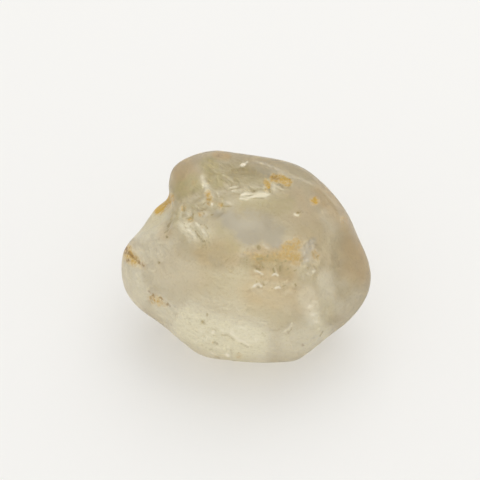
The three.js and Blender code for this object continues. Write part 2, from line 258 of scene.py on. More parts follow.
# Brown film, partly painted shade where the knob, the right lobe, the top right and the middle
# of the face look darker
AMBER_AND_SHADE = [
    ([(-7.2, 10.2), (-6.6, 9.0)], 2.6, 0.65),
    ([(12.0, 1.4), (12.6, -1.4)], 3.0, 0.6),
    ([(11.4, 4.0), (9.0, 7.4)], 2.6, 0.55),
    ([(-3.4, 11.5), (-2.2, 11.4)], 0.8, 0.6),
    ([(1.4, 0.2), (5.0, 0.4)], 2.0, 0.6),
    ([(-8.5, -1.0), (-6.0, -2.0)], 3.2, 0.2),
    ([(1.6, -1.6), (4.4, -1.8)], 2.0, 0.45),
    ([(5.2, 6.4), (6.8, 4.0), (8.4, 1.0)], 3.2, 0.3),
    ([(-4.4, 0.6), (-2.0, 0.4)], 2.6, 0.5),
    ([(-12.9, 0.6), (-12.2, -0.6)], 1.0, 0.5),
    ([(-9.2, 3.4), (-9.2, 2.6)], 1.2, 0.4),
    ([(0.8, -3.8), (3.0, -4.2), (6.4, -4.8)], 2.6, 0.4),
]
# Painted shade in hollows, under ledges and over darker parts of the face
SHADE_MARKS = [
    ([(-2.6, 9.8), (-0.8, 9.4), (1.0, 9.1)], 0.9, 0.2),
    ([(-8.6, 4.0), (-8.9, 3.1)], 0.6, 0.35),
    ([(-4.2, 0.9), (-3.0, 0.2)], 2.2, 0.35),
    ([(0.2, -0.6), (2.8, -0.4), (4.4, -1.4)], 1.3, 0.45),
    ([(-4.9, -7.2)], 0.4, 0.35),
    ([(11.0, -4.0), (12.0, -3.0)], 1.4, 0.3),
    ([(-9.8, -0.5)], 0.3, 0.5),
    ([(-0.6, 5.2), (3.6, 5.2)], 1.5, 0.35),
    ([(3.6, 4.2), (5.6, 3.4)], 2.0, 0.25),
]
# Yellow-green film
OLIVE = [
    ([(-7.4, 7.6), (-5.8, 8.4)], 1.7, 0.9),
    ([(-4.2, 10.4), (-3.4, 8.6)], 1.5, 0.8),
    ([(-1.6, 9.4), (2.0, 9.2)], 1.6, 0.35),
    ([(0.2, 6.0), (4.4, 6.0)], 1.8, 0.6),
    ([(-8.0, 4.6)], 1.2, 0.5),
    ([(-11.0, 3.6), (-9.6, 5.0)], 1.6, 0.5),
    ([(-2.4, 3.2), (-1.4, 1.4)], 1.6, 0.4),
    ([(9.0, -5.6), (8.6, -7.6)], 1.6, 0.35),
    ([(-6.2, -8.6), (-0.6, -10.6)], 2.2, 0.5),
]
# The smooth hollow, and smaller glossy spots, in a painted darker bluish grey for what shows
# through them
CLEAR_AND_SHADE = [
    ([(-3.1, 4.9), (-1.4, 4.6)], 1.0, 0.6),
    ([(-1.6, 4.3), (0.0, 3.2), (1.8, 3.6)], 1.7, 0.9),
    ([(-0.5, 2.6), (0.4, 2.2), (2.0, 2.8)], 1.2, 0.8),
    ([(1.4, 3.2), (3.0, 2.2), (3.3, 1.7)], 1.3, 0.8),
    ([(0.4, 4.7), (2.0, 4.2), (3.4, 3.0)], 1.5, 0.8),
    ([(0.8, 10.0), (2.6, 9.6)], 1.4, 0.3),
    ([(-3.5, -0.2), (-2.7, -0.9)], 1.6, 0.3),
    ([(7.4, 1.7), (6.9, 0.9), (6.75, 0.0)], 0.9, 0.65),
]

# Painted highlights where small broken edges and the lips of pits catch the light
GLINTS = [
    ([(-7.25, 4.89)], 0.22, 0.6),
    ([(-6.90, 4.77), (-6.68, 4.56), (-6.27, 4.90)], 0.17, 0.6),
    ([(-4.92, 6.27)], 0.20, 0.7),
    ([(-3.87, 6.29), (-3.78, 5.84)], 0.20, 0.8),
    ([(-3.24, 7.31), (-3.03, 6.81)], 0.21, 0.5),
    ([(-2.59, 6.41), (-1.69, 6.11)], 0.20, 0.5),
    ([(-2.36, 7.53), (-1.57, 7.98)], 0.17, 0.5),
    ([(-5.69, 3.98), (-5.33, 3.64)], 0.27, 0.55),
    ([(-6.34, 3.89), (-5.96, 3.48)], 0.25, 0.5),
    ([(-7.80, 3.71), (-7.80, 3.15)], 0.14, 0.4),
    ([(-6.97, 2.99), (-6.52, 3.03)], 0.17, 0.5),
    ([(-5.44, 2.97), (-5.13, 2.47)], 0.17, 0.45),
    ([(-4.90, 3.08), (-4.38, 2.70), (-4.65, 2.20)], 0.21, 0.45),
    ([(-4.50, 1.91)], 0.18, 0.5),
    ([(-5.96, 2.70), (-5.78, 2.02)], 0.17, 0.5),
    ([(-5.91, 5.10), (-5.66, 5.40)], 0.17, 0.5),
    ([(-4.43, 5.06), (-4.61, 4.56)], 0.17, 0.5),
    ([(-7.31, 4.05), (-6.74, 3.60)], 0.22, 0.4),
    ([(-6.29, 3.26), (-5.62, 2.02)], 0.14, 0.5),
    ([(-6.74, 3.60), (-6.07, 2.47)], 0.14, 0.5),
    ([(-3.71, 5.73)], 0.17, 0.5),
    ([(-7.15, 7.24)], 0.20, 0.4),
    ([(-0.47, 10.43), (-0.20, 10.50)], 0.27, 1.4),
    ([(-0.04, 10.68), (0.16, 10.86)], 0.17, 0.8),
    ([(-1.12, 10.30), (-0.79, 10.07), (-0.61, 9.71)], 0.15, 0.5),
    ([(-3.82, 10.30), (-3.30, 10.05)], 0.14, 0.4),
    ([(-2.81, 9.89), (-2.65, 9.37), (-1.91, 9.10)], 0.17, 0.45),
    ([(-2.47, 8.45), (-1.87, 7.96)], 0.18, 0.7),
    ([(-1.64, 7.89), (-1.24, 7.98), (-0.79, 8.05)], 0.15, 1.0),
    ([(-1.64, 8.25), (-1.12, 8.32)], 0.13, 0.6),
    ([(-1.62, 7.55), (-1.01, 7.60)], 0.15, 0.9),
    ([(-0.90, 7.67), (-0.56, 7.70), (0.00, 7.82)], 0.17, 0.9),
    ([(-0.56, 7.04), (0.00, 7.24)], 0.22, 0.8),
    ([(-0.67, 6.68), (0.18, 6.54)], 0.18, 0.65),
    ([(0.18, 7.13), (1.12, 7.33)], 0.15, 0.75),
    ([(0.18, 6.79), (1.12, 6.97), (2.14, 6.92)], 0.15, 0.65),
    ([(1.12, 7.19), (1.80, 7.19), (2.54, 7.17)], 0.26, 0.6),
    ([(-0.67, 9.04), (0.22, 9.10)], 0.13, 0.4),
    ([(-1.42, 8.92)], 0.25, 0.35),
    ([(3.48, 8.05), (4.27, 7.64)], 0.21, 0.5),
    ([(3.08, 8.32), (3.19, 7.64)], 0.21, 0.5),
    ([(1.12, 10.90), (1.91, 10.68), (2.70, 10.39), (4.38, 9.73)], 0.13, 0.4),
    ([(-4.92, 9.10), (-4.88, 8.65), (-4.83, 7.98)], 0.2, 0.7),
    ([(-4.68, 8.65), (-4.43, 8.09)], 0.24, 0.6),
    ([(-4.32, 8.32), (-3.93, 7.94)], 0.17, 0.4),
    ([(0.00, 7.76), (0.45, 7.42)], 0.18, 0.6),
    ([(-4.68, 10.45), (-4.16, 10.75)], 0.15, 0.35),
    ([(-3.60, 9.10), (-2.92, 8.54)], 0.13, 0.4),
    ([(-3.26, 8.43), (-2.25, 7.64)], 0.13, 0.4),
    ([(0.45, 8.09), (1.35, 7.98)], 0.14, 0.4),
    ([(0.97, -1.42), (1.24, -1.49), (1.57, -1.66), (1.87, -1.84)], 0.2, 1.0),
    ([(2.99, -1.96), (3.15, -1.80), (3.37, -1.80), (3.57, -1.96)], 0.24, 1.0),
    ([(0.94, -3.15), (1.10, -2.99), (1.30, -2.93), (1.57, -3.03), (1.73, -3.21)], 0.24, 1.2),
    ([(0.45, -3.30), (0.83, -3.24)], 0.14, 0.6),
    ([(3.30, -3.39), (3.66, -3.26), (3.82, -3.35)], 0.22, 1.2),
    ([(3.19, -1.12), (3.37, -1.46), (3.42, -1.69)], 0.14, 0.7),
    ([(1.19, -0.56), (1.46, -0.90), (1.80, -1.19)], 0.13, 0.6),
    ([(1.91, 1.53), (2.25, 1.24), (2.63, 1.01)], 0.17, 0.6),
    ([(1.42, 0.52)], 0.20, 0.5),
    ([(1.98, 0.22)], 0.15, 0.6),
    ([(2.29, -2.70)], 0.22, 0.7),
    ([(4.56, -2.59), (4.72, -2.77)], 0.15, 0.7),
    ([(5.17, -2.52)], 0.17, 0.5),
    ([(4.90, -4.05), (5.33, -3.75)], 0.17, 0.5),
    ([(6.41, -1.91), (6.47, -2.36)], 0.14, 0.5),
    ([(7.49, -1.51), (7.71, -1.48)], 0.25, 0.7),
    ([(6.97, -1.78), (7.26, -1.87)], 0.17, 0.6),
    ([(7.15, -1.12), (7.22, -1.46)], 0.14, 0.6),
    ([(7.35, -0.74), (7.80, -0.67)], 0.14, 0.5),
    ([(6.56, 0.83), (6.61, 0.45)], 0.20, 0.5),
    ([(6.74, -0.27), (7.04, -0.18)], 0.25, 0.6),
    ([(6.79, 1.69), (6.90, 1.24)], 0.17, 0.5),
    ([(7.42, 1.57), (7.49, 1.12)], 0.20, 0.7),
    ([(7.87, 0.90)], 0.20, 0.6),
    ([(8.36, 0.16)], 0.17, 0.5),
    ([(7.5, 1.9), (7.3, 1.7)], 0.22, 0.6),
    ([(6.75, 0.95)], 0.2, 0.5),
    ([(6.95, -0.2)], 0.26, 0.5),
    ([(4.50, -2.07), (4.61, -2.36)], 0.13, 0.5),
    ([(2.70, -0.90), (2.92, -0.45)], 0.14, 0.4),
    ([(5.44, 4.97), (5.66, 4.81), (5.91, 4.79)], 0.18, 1.3),
    ([(5.96, 5.28), (6.18, 5.06)], 0.11, 0.5),
    ([(7.15, -5.4)], 0.35, 0.45),
    ([(7.3, -6.2), (7.5, -6.5)], 0.3, 0.5),
    ([(8.0, -6.2)], 0.25, 0.4),
    ([(7.6, -6.9), (7.9, -7.2)], 0.22, 0.5),
    ([(7.2, -7.4)], 0.25, 0.35),
    ([(8.2, -7.9)], 0.25, 0.4),
    ([(7.0, -5.6)], 0.14, 0.7),
    ([(7.35, -5.9)], 0.13, 0.7),
    ([(7.6, -6.4)], 0.14, 0.7),
    ([(7.9, -6.7)], 0.13, 0.7),
    ([(8.1, -7.3)], 0.14, 0.7),
    ([(4.3, -8.3), (4.7, -8.2), (5.0, -7.7), (5.2, -7.3)], 0.15, 0.7),
    ([(4.99, -9.67), (5.13, -10.34)], 0.13, 0.4),
    ([(-3.69, -8.32)], 0.31, 1.2),
    ([(-4.34, -8.88)], 0.22, 0.8),
    ([(-3.98, -8.54)], 0.18, 0.6),
    ([(-2.70, -7.98), (-2.54, -8.54)], 0.15, 0.5),
    ([(-1.73, -8.43), (-1.24, -8.88), (-0.67, -9.33), (-0.29, -9.37), (0.27, -9.85)], 0.21, 0.8),
    ([(1.01, -8.95), (1.17, -9.33)], 0.20, 0.7),
    ([(-1.73, -8.14), (-1.30, -8.32)], 0.15, 0.6),
    ([(-4.05, -10.57), (-3.37, -10.86)], 0.17, 0.7),
    ([(-2.18, -10.90), (-1.96, -10.99)], 0.27, 1.1),
    ([(-1.91, -10.45)], 0.17, 0.6),
    ([(-2.54, -9.04)], 0.17, 0.7),
    ([(-2.54, -9.71)], 0.14, 0.6),
    ([(-2.02, -10.00)], 0.22, 0.6),
    ([(-5.17, -10.12), (-4.88, -10.23)], 0.20, 0.5),
    ([(-5.28, -8.09), (-4.72, -8.43)], 0.20, 0.5),
    ([(-5.84, -9.44), (-5.40, -9.22)], 0.17, 0.5),
    ([(-0.67, -7.76), (0.00, -7.98)], 0.17, 0.4),
    ([(-3.37, -9.89), (-2.81, -10.23)], 0.14, 0.5),
    ([(-4.95, -8.99), (-4.50, -9.33)], 0.15, 0.5),
    ([(-3.15, -7.87), (-2.25, -8.32)], 0.14, 0.5),
    ([(-9.95, 1.1), (-9.93, 0.1)], 0.15, 0.5),
    ([(-11.35, 1.69), (-10.79, 2.47)], 0.17, 0.2),
]
# Short dark lines and dots: cracks, and painted shade in the pits and beside their lips
CRACKS_AND_SHADE = [
    ([(-8.14, 5.73), (-8.25, 4.95), (-8.43, 4.16), (-8.72, 3.60)], 0.17, 0.3),
    ([(-8.70, 3.60), (-8.83, 3.03), (-9.10, 2.81)], 0.25, 0.4),
    ([(-8.88, 2.36)], 0.21, 0.9),
    ([(-7.04, 5.84), (-6.95, 5.28)], 0.15, 0.7),
    ([(-6.41, 4.11), (-6.07, 4.25)], 0.15, 0.6),
    ([(-6.74, 4.43), (-6.29, 4.50)], 0.13, 0.5),
    ([(-4.79, 6.02), (-4.61, 6.23)], 0.17, 0.6),
    ([(-4.11, 6.29)], 0.20, 0.8),
    ([(-2.59, 5.82), (-1.57, 5.82)], 0.15, 0.6),
    ([(-5.91, 4.99), (-6.00, 4.50)], 0.17, 0.5),
    ([(-5.10, 5.35), (-4.83, 5.28)], 0.15, 0.5),
    ([(-4.72, 5.06), (-4.83, 4.61)], 0.14, 0.5),
    ([(-6.97, 3.87), (-6.86, 3.48), (-6.63, 3.21)], 0.14, 0.6),
    ([(-5.66, 3.03), (-5.46, 2.59), (-5.17, 2.29), (-4.83, 1.96)], 0.15, 0.7),
    ([(-4.72, 1.91)], 0.20, 0.8),
    ([(-5.10, 3.75)], 0.17, 0.6),
    ([(-4.65, 3.71), (-4.38, 3.33)], 0.17, 0.5),
    ([(-3.37, 6.11), (-3.21, 5.96)], 0.18, 0.5),
    ([(-3.93, 4.83), (-3.71, 4.88)], 0.17, 0.5),
    ([(-4.05, 10.05), (-3.66, 10.05)], 0.14, 0.6),
    ([(-3.82, 9.67)], 0.20, 0.5),
    ([(-0.61, 10.57), (-0.56, 10.12)], 0.13, 0.7),
    ([(-1.46, 8.43)], 0.14, 0.6),
    ([(-1.69, 8.09)], 0.13, 0.7),
    ([(-1.12, 7.80), (-0.56, 7.94)], 0.13, 0.5),
    ([(-1.69, 7.71), (-1.01, 7.76)], 0.11, 0.5),
    ([(-0.45, 7.37), (-0.34, 7.42)], 0.14, 0.6),
    ([(0.27, 6.97), (0.79, 7.09)], 0.10, 0.5),
    ([(0.67, 7.42), (0.94, 7.49)], 0.17, 0.6),
    ([(0.56, 6.70), (2.07, 6.72)], 0.13, 0.45),
    ([(2.54, 7.64), (2.70, 7.42)], 0.18, 0.8),
    ([(3.87, 8.21), (4.16, 7.98)], 0.17, 0.7),
    ([(1.35, 10.61), (2.02, 10.39), (3.15, 10.09)], 0.14, 0.4),
    ([(-2.25, 8.95)], 0.20, 0.5),
    ([(-3.33, 9.33)], 0.17, 0.5),
    ([(-2.70, 8.09), (-2.14, 7.53)], 0.14, 0.5),
    ([(1.39, 1.24), (1.44, 1.12)], 0.31, 0.9),
    ([(1.24, -1.21), (1.53, -1.37)], 0.18, 1.1),
    ([(3.10, -1.24), (3.19, -1.57)], 0.20, 0.9),
    ([(1.28, -3.28), (1.48, -3.30)], 0.13, 0.6),
    ([(1.91, -2.81), (2.02, -3.08)], 0.13, 0.7),
    ([(2.92, -3.44)], 0.14, 0.6),
    ([(4.11, -3.19), (4.45, -3.08)], 0.15, 0.5),
    ([(3.82, -0.90), (3.84, -1.46)], 0.14, 0.5),
    ([(3.37, -0.85)], 0.14, 0.6),
    ([(4.45, -0.34)], 0.20, 0.8),
    ([(4.05, -0.52)], 0.14, 0.6),
    ([(4.72, -1.19)], 0.18, 0.6),
    ([(5.44, -1.44), (5.62, -1.35)], 0.17, 0.7),
    ([(4.95, -1.53)], 0.14, 0.5),
    ([(5.51, -2.92), (5.62, -3.10)], 0.17, 0.7),
    ([(6.11, -0.25), (6.29, -0.18)], 0.18, 0.52),
    ([(5.55, -3.82)], 0.14, 0.5),
    ([(6.97, -1.06), (6.97, -1.24)], 0.18, 0.4),
    ([(7.13, 1.28)], 0.20, 0.3),
    ([(7.42, 0.67), (7.64, 0.45)], 0.18, 0.35),
    ([(7.98, 0.22), (7.94, -0.11)], 0.18, 0.4),
    ([(7.53, -1.91)], 0.15, 0.39),
    ([(0.11, -0.22)], 0.15, 0.5),
    ([(0.11, -0.52)], 0.14, 0.5),
    ([(2.36, 0.11), (2.47, 0.34)], 0.17, 0.6),
    ([(1.24, -0.07), (1.80, -0.11)], 0.18, 0.7),
    ([(2.09, 0.67)], 0.13, 0.6),
    ([(3.26, -0.22), (3.48, -0.34)], 0.14, 0.6),
    ([(1.19, -2.59), (1.24, -2.81)], 0.14, 0.6),
    ([(3.60, -3.10)], 0.13, 0.6),
    ([(1.80, -0.94), (2.02, -1.12)], 0.13, 0.5),
    ([(-4.88, -7.13), (-4.72, -7.37)], 0.28, 0.39),
    ([(-3.89, -7.91), (-3.37, -8.21)], 0.15, 0.33),
    ([(-3.71, -8.65), (-3.08, -8.88)], 0.15, 0.29),
    ([(-2.70, -8.65), (-2.02, -8.71), (-1.62, -9.01), (-1.35, -9.22)], 0.17, 0.39),
    ([(-0.56, -9.55), (-0.22, -9.80), (0.22, -9.96)], 0.21, 0.33),
    ([(-3.71, -9.51), (-3.48, -9.44), (-3.19, -9.73)], 0.21, 0.39),
    ([(-4.20, -9.62)], 0.17, 0.29),
    ([(-4.50, -10.12)], 0.20, 0.33),
    ([(-4.09, -10.30), (-3.82, -10.23)], 0.20, 0.33),
    ([(-1.69, -10.30)], 0.18, 0.45),
    ([(-3.51, -11.02), (-2.99, -11.24)], 0.15, 0.33),
    ([(0.56, -8.88)], 0.15, 0.39),
    ([(1.80, -8.43), (2.14, -8.77)], 0.17, 0.33),
    ([(-4.38, -6.25), (-4.38, -6.52)], 0.15, 0.4),
    ([(-4.95, -9.78)], 0.15, 0.26),
    ([(-0.79, -10.63)], 0.13, 0.39),
    ([(-3.37, -10.45)], 0.14, 0.26),
    ([(-9.75, -0.5)], 0.16, 0.45),
    ([(5.75, 5.06), (5.91, 5.06)], 0.18, 1.0),
    ([(6.29, 5.28), (6.41, 5.13)], 0.14, 0.5),
    ([(-5.69, 8.61), (-5.51, 8.32)], 0.13, 0.4),
    ([(8.32, -8.77), (8.65, -8.21)], 0.14, 0.5),
    ([(4.75, -8.45), (5.1, -8.0)], 0.15, 0.5),
    ([(7.2, -6.0)], 0.16, 0.5),
    ([(7.7, -6.75)], 0.16, 0.5),
]

# How the zones are broken up: the zone, its height among the settings and the share of it that
# is used, the kind of noise, the size of its lumps in millimetres along the face, their turn in
# degrees and the noise's own settings
ROUGHENING = [
    ("scar", "scar_relief", 1.0, "VORONOI", (1.5, 0.7, 0.7), -30, {}),
    ("scar", "scar_relief", 0.8, "CLOUDS", (0.9, 0.35, 0.35), -40, {"noise_depth": 1}),
    ("pits", "pit_relief", 1.0, "CLOUDS", (0.55, 0.5, 0.5), 20, {"noise_depth": 1}),
    ("foot", "pit_relief", 1.0, "CLOUDS", (1.3, 0.5, 0.5), -25, {"noise_depth": 1}),
    ("skin", "skin_relief", 1.0, "CLOUDS", (2.6, 2.2, 2.2), 15, {"noise_depth": 2}),
    ("skin", "skin_relief", 0.5, "CLOUDS", (0.6, 0.6, 0.6), 0, {"noise_depth": 0}),
]
# The skin's waves set in between these two heights over the flat base, in millimetres
BASE_CALM = 0.1
BASE_WAVED = 0.6

# The material's noises: the size of their lumps in millimetres along the face, their turn in
# degrees, their detail and their distortion. Their values lie round this middle
NOISE_MIDDLE = 0.5
NOISES = {
    "grain": ((0.27, 0.27, 0.27), 0, 2, 0.0),
    "mottle": ((1.1, 0.7, 0.7), -30, 4, 0.3),
    "waves": ((0.9, 0.6, 0.6), -30, 1, 0.0),
    "specks": ((0.4, 0.34, 0.34), 25, 2, 0.0),
    "cloud": ((5.0, 4.0, 4.0), -30, 2, 0.0),
    "streaks": ((1.6, 0.28, 0.28), -38, 2, 0.5),
    "ribs": ((1.3, 0.28, 0.28), -30, 2, 0.3),
    "stains": ((2.2, 1.2, 1.2), 40, 4, 0.0),
}

# The soft zones: their marks, the noise that breaks up their edges and by how much, which is in
# full where a zone's strength times the gate reaches 1
SOFT_ZONES = {
    "scar": (SCAR, "mottle", 0.5),
    "pits": (GATHERED_PITS, "mottle", 0.8),
    "foot": (FOOT, "mottle", 0.8),
    "iron": (IRON, "specks", 1.6),
    # Chalk is partly crushed crystal and partly painted highlight
    "chalk_and_highlight": (CHALK_AND_HIGHLIGHTS, "ribs", 0.7),
    # Frost also paints a glow of light
    "frost_and_glow": (FROST_AND_GLOW, "mottle", 0.9),
    # Amber also paints shade
    "amber_and_shade": (AMBER_AND_SHADE, "cloud", 0.8),
    "olive": (OLIVE, "mottle", 1.0),
    # Painted shade
    "shade": (SHADE_MARKS, "specks", 0.7),
}
EDGE_GATE = 2.5

# The crisp marks: the same, and the closeness at which a mark is whole
CRISP_MARKS = {
    "rust": (RUST, "specks", 0.8, 0.7),
    # The clear spots' colour is painted shade
    "clear": (CLEAR_AND_SHADE, "mottle", 0.6, 0.6),
    # Glints are painted highlights
    "glints": (GLINTS, "ribs", 0.6, 0.9),
    # Cracks also paint shade in the pits
    "cracks_and_shade": (CRACKS_AND_SHADE, "specks", 0.6, 0.5),
}

# The foot counts among the pits by this share, and the hollow is clear by this one
FOOT_SHARE = 0.6
CLEAR_SHARE = 0.85

# Thin light lines in the scar and the foot, painted highlights along glassy ridges: the noise
# whose middle they follow, half their width in it and their strength
VEINS = [("mottle", 0.02, 0.6), ("streaks", 0.025, 0.5)]

# The shares of other values that are added to a mask
ADDED = {
    # The rim's painted shade darkens the amber
    "amber_and_shade": {"rim": 0.3},
    "olive": {"scar": 0.35},
    "chalk_and_highlight": {"veins": 0.5},
    "shade": {"cracks_and_shade": 0.85},
}
# What noise adds to a mask: the mask, the noise, between which of its values it sets in, the
# zone that it is kept to and its strength. Matt is all of the stone but the clear spots
SCATTERED = [
    ("iron", "stains", 0.64, 0.72, "back", 0.8),
    ("frost_and_glow", "cloud", 0.45, 0.65, "back", 0.4),
    ("chalk_and_highlight", "mottle", 0.6, 0.66, "back", 0.3),
    # The flecks in the scar and the crumbs among the pits are partly painted highlights on broken
    # facets
    ("chalk_and_highlight", "streaks", 0.56, 0.64, "scar", 0.4),
    ("chalk_and_highlight", "specks", 0.56, 0.64, "pits", 0.35),
    ("chalk_and_highlight", "grain", 0.6, 0.7, "stone", 0.1),
    ("shade", "ribs", 0.47, 0.38, "scar", 0.35),
    ("shade", "specks", 0.45, 0.37, "pits", 0.3),
    ("shade", "grain", 0.5, 0.3, "matt", 0.17),
]

# The masks in the order in which they colour the skin, each over those before it
LAYERS = ("amber_and_shade", "olive", "clear", "frost_and_glow", "iron", "shade", "chalk_and_highlight", "glints", "rust")

# The shares by which masks and noises hide the clear crystal, change the skin's roughness, raise
# its finest relief and smooth that out again
HAZE = {
    "frost_and_glow": 0.65, "chalk_and_highlight": 0.5, "iron": 0.6, "rust": 0.5, "glints": 0.7, "amber_and_shade": 0.12,
    "grain": 0.12,
}
ROUGHNESS = {"grain": 0.1, "frost_and_glow": 0.06, "chalk_and_highlight": 0.12, "smooth": -0.1}
ROUGHNESS_START = 0.36
RELIEF = {"grain": 0.25, "waves": 0.3, "ridges": 0.8, "crumbs": 0.4}
RELIEF_HEIGHT = 0.3 * MM
POLISH = {"clear": 0.85, "broken": 0.3}


def linear(colour):
    """An sRGB hex colour as linear red, green and blue."""
    parts = [int(colour[i:i + 2], 16) / 255 for i in (1, 3, 5)]
    return [p / 12.92 if p <= 0.04045 else ((p + 0.055) / 1.055) ** 2.4 for p in parts]


def from_face(u, v, w):
    """A point of the face's frame, in millimetres, as a place in metres."""
    return MIDDLE + FACE_AXES.transposed() @ Vector((u, v, w)) * MM


class TopazSizes(bpy.types.PropertyGroup):
    """How finely the stone is modelled and how rough its parts are."""

    grid: FloatProperty(
        name="Grid",
        description="Edge of the small squares that the skin is made of",
        default=0.17 * MM,
        unit="LENGTH",
    )
    smoothing: IntProperty(
        name="Smoothing",
        description="How often the grid is relaxed, which rounds edges as wear does",
        default=3,
    )
    scar_relief: FloatProperty(
        name="Scar relief",
        description="Height of the broken steps inside the scar",
        default=0.22 * MM,
        unit="LENGTH",
    )
    pit_relief: FloatProperty(
        name="Pit relief",
        description="Height of the dimples where the pits gather",
        default=0.12 * MM,
        unit="LENGTH",
    )
    skin_relief: FloatProperty(
        name="Skin relief",
        description="Height of the low waves that cover the whole stone",
        default=0.05 * MM,
        unit="LENGTH",
    )


class TopazColours(bpy.types.PropertyGroup):
    """The stone's own colours, those of its stains, its painted highlights and shade, and the
    sheet's.
    """

    straw: FloatVectorProperty(
        name="Straw",
        description="What a long way through the crystal leaves of white light",
        default=linear("#ecdd98"),
        size=3,
        subtype="COLOR",
    )
    skin: FloatVectorProperty(
        name="Frosted skin",
        description="The faint white haze of the worn skin",
        default=linear("#fbf8ee"),
        size=3,
        subtype="COLOR",
    )
    # Partly a brown film, partly painted shade on darker parts of the stone
    amber_and_shade: FloatVectorProperty(
        name="Amber film",
        description="The thin brown film on the knob and the right lobe",
        default=linear("#e8c07c"),
        size=3,
        subtype="COLOR",
    )
    olive: FloatVectorProperty(
        name="Olive film",
        description="The yellow-green cast beside the scar",
        default=linear("#d9d2a0"),
        size=3,
        subtype="COLOR",
    )
    # Painted shade: the darker bluish grey seen through the polished hollow
    clear: FloatVectorProperty(
        name="Clear hollow",
        description="The bluish grey of the smooth hollow",
        default=linear("#c6c7d0"),
        size=3,
        subtype="COLOR",
    )
    # Partly heavy frost, partly a painted glow where light comes through the lower front
    frost_and_glow: FloatVectorProperty(
        name="Heavy frost",
        description="The pale yellow-green of the most finely pitted skin",
        default=linear("#f5eed0"),
        size=3,
        subtype="COLOR",
    )
    # Painted shade: the darkening of crevices, pits and darker parts of the face, and of cracks
    shade: FloatVectorProperty(
        name="Shaded crevices",
        description="Olive grey dust in the crevices of the scar and among the pits",
        default=linear("#b2a273"),
        size=3,
        subtype="COLOR",
    )
    iron: FloatVectorProperty(
        name="Iron stain",
        description="Yellow ochre in cracks and pits",
        default=linear("#c89c0a"),
        size=3,
        subtype="COLOR",
    )
    rust: FloatVectorProperty(
        name="Rust",
        description="Dark brown iron oxide at the bottom of cracks",
        default=linear("#92703c"),
        size=3,
        subtype="COLOR",
    )
    # Crushed white crystal, also the colour of painted highlights on ledges, lips, veins and flecks
    chalk_and_highlight: FloatVectorProperty(
        name="Bruised white",
        description="Crushed crystal on fresh edges and lips",
        default=linear("#e9dfc2"),
        size=3,
        subtype="COLOR",
    )
    # Painted highlights: the colour of the light caught by small broken edges and pit lips
    glints: FloatVectorProperty(
        name="Glints",
        description="Small broken edges that catch the light",
        default=linear("#f6ecd2"),
        size=3,
        subtype="COLOR",
    )
    paper: FloatVectorProperty(
        name="Sheet",
        description="The pale, backlit sheet that the stone lies on",
        default=linear("#cccbc8"),
        size=3,
        subtype="COLOR",
    )


def select_only(piece):
    bpy.ops.object.select_all(action="DESELECT")
    piece.select_set(True)
    bpy.context.view_layer.objects.active = piece


def apply_modifier(piece, kind, **settings):
    """Adds a modifier with its settings and applies it."""
    modifier = piece.modifiers.new(kind.title(), kind)
    for name, value in settings.items():
        setattr(modifier, name, value)
    select_only(piece)
    bpy.ops.object.modifier_apply(modifier=modifier.name)


def copy_of_cad_node(name):
    """A new piece with the CAD solid's shape, its loose triangles merged."""
    piece = bpy.data.objects.new(name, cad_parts[CAD_NODE].data.copy())
    bpy.context.scene.collection.objects.link(piece)
    select_only(piece)
    bpy.ops.object.mode_set(mode="EDIT")
    bpy.ops.mesh.select_all(action="SELECT")
    bpy.ops.mesh.remove_doubles(threshold=MERGE_DISTANCE)
    bpy.ops.object.mode_set(mode="OBJECT")
    return piece


def smooth_step(value, low, high):
    """0 below low, 1 above high and a soft step between them."""
    share = np.clip((value - low) / (high - low), 0, 1)
    return share * share * (3 - 2 * share)


def vertex_places(piece):
    """The (x, y, z) of every vertex, in metres."""
    places = np.empty(len(piece.data.vertices) * 3)
    piece.data.vertices.foreach_get("co", places)
    return places.reshape(-1, 3)


def face_places(piece):
    """The (u, v, w) of every vertex, with u and v in millimetres where the camera sees them."""
    places = (vertex_places(piece) - np.array(MIDDLE)) @ np.array(FACE_AXES).T / MM
    nearness = 1 - places[:, 2:] / CAMERA_DISTANCE
    places[:, :2] = CAMERA_AIM + (places[:, :2] - CAMERA_AIM) / nearness
    return places


def to_line(places, line):
    """How far each place is from a line of (u, v) points, and on which side: 1 is the right."""
    nearest = np.full(len(places), np.inf)
    side = np.zeros(len(places))
    for start, end in zip(line, line[1:] or line):
        way = np.subtract(end, start)
        off = places[:, :2] - start
        length_squared = way @ way or 1
        along = np.clip(off @ way / length_squared, 0, 1)
        distance = np.linalg.norm(off - along[:, None] * way, axis=1)
        turn = np.sign(off[:, 0] * way[1] - off[:, 1] * way[0])
        closer = distance < nearest
        nearest[closer] = distance[closer]
        side[closer] = turn[closer]
    return nearest, side


def on_face(places):
    """1 on the face, 0 on the back and a soft step between them."""
    return smooth_step(places[:, 2], FACE_START, FACE_FULL)


def strengths(places, marks):
    """How strongly each place is marked, from 0 to 1."""
    total = np.zeros(len(places))
    for line, half, strength in marks:
        distance, _ = to_line(places, line)
        fade = smooth_step(distance, SOLID_SHARE * half, half)
        total = np.maximum(total, strength * (1 - fade))
    return np.minimum(total, 1) * on_face(places)


def closeness(places, marks):
    """How near each place is to a mark: its strength on its line, 0 at its edge and less beyond."""
    total = np.full(len(places), -1.0)
    for line, half, strength in marks:
        distance, _ = to_line(places, line)
        total = np.maximum(total, strength * (1 - distance / half))
    return np.where(on_face(places) > CRISP_FROM, total, -1)


def sunken(places):
    """How deep each place lies in a cup or beneath a scarp, in millimetres."""
    total = np.zeros(len(places))
    for centre, half, depth in CUPS:
        distance, _ = to_line(places, [centre])
        total = np.maximum(total, depth * (1 - smooth_step(distance, PIT_FLOOR * half, half)))
    for line, depth, fade in SCARPS:
        distance, side = to_line(places, line)
        ramp = 1 - np.where(side > 0, distance / fade, smooth_step(distance, 0, SCARP_EDGE))
        total = np.maximum(total, depth * np.clip(ramp, 0, 1))
    return total * on_face(places)


